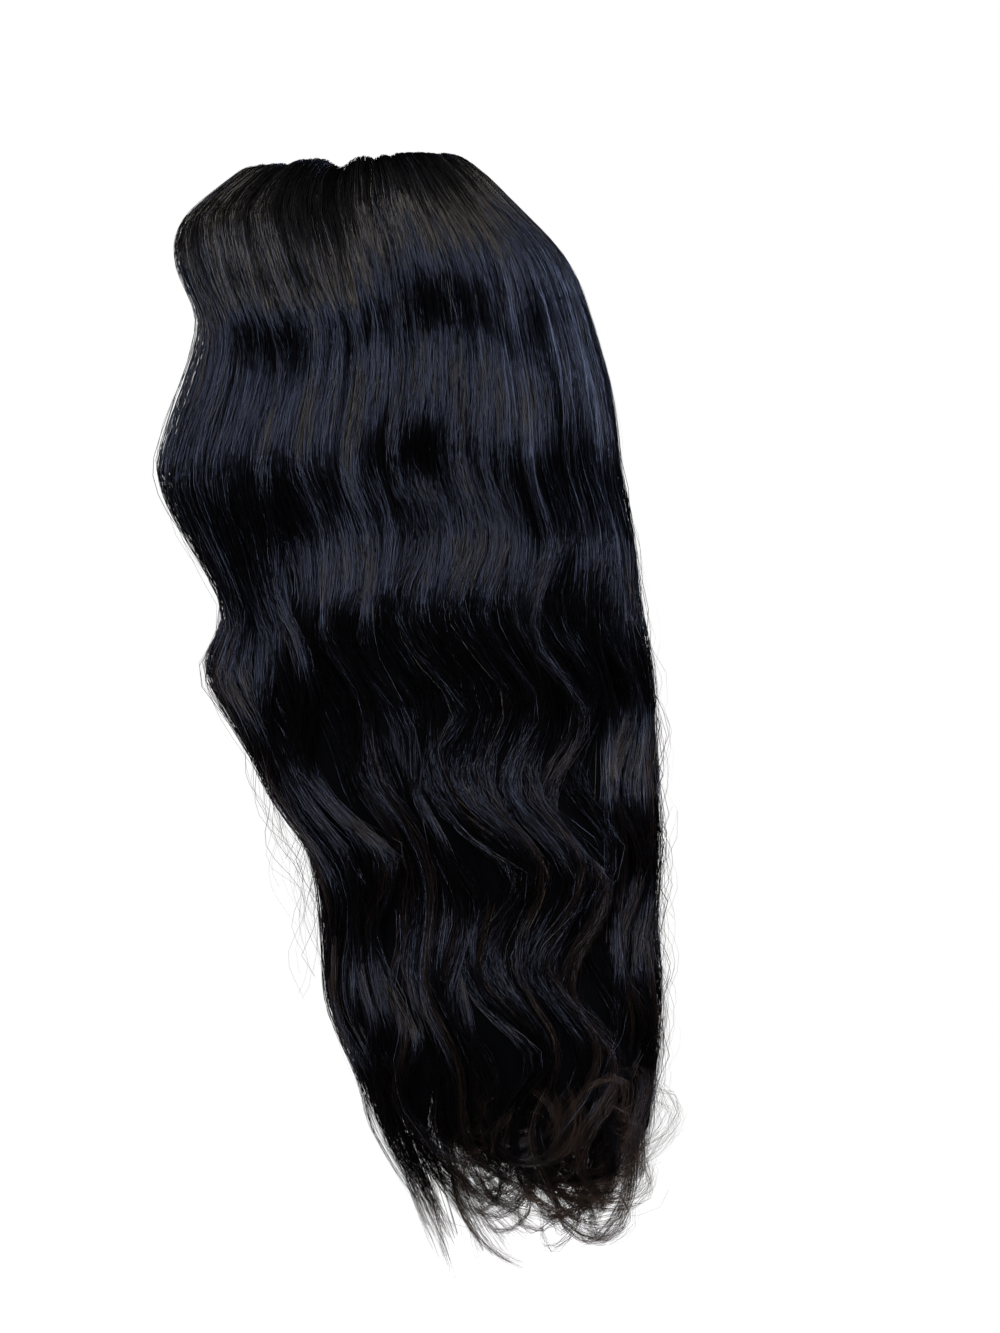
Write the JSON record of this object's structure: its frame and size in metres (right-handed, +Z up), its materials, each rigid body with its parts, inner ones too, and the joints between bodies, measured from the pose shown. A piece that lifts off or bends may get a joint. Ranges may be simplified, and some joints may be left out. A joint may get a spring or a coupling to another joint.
{
  "type": "lace front wig",
  "caption": "Long black body wave wig in its worn form: locks parted in the middle fall from an open net cap with a lace front.",
  "frame": {"origin": "inside of the cap's crown, where the top of the head meets it", "axes": "+Z up along the hang of the hair, -Y to the face, +X to the wearer's left"},
  "size_m": [0.2283, 0.2905, 0.6465],
  "materials": {
    "cap_net": "matte stretch net",
    "lace": "sheer matte lace",
    "elastic": "woven elastic",
    "hair": "glossy wavy strands"
  },
  "bodies": {
    "root": {"cap": "cap_net", "lace_front": "lace", "ear_tab_left": "cap_net", "ear_tab_right": "cap_net", "nape_band": "elastic", "hair_back_left": "hair", "hair_back_right": "hair", "hair_side_left": "hair", "hair_side_right": "hair", "hair_front_left": "hair", "hair_front_right": "hair"}
  },
  "joints": []
}
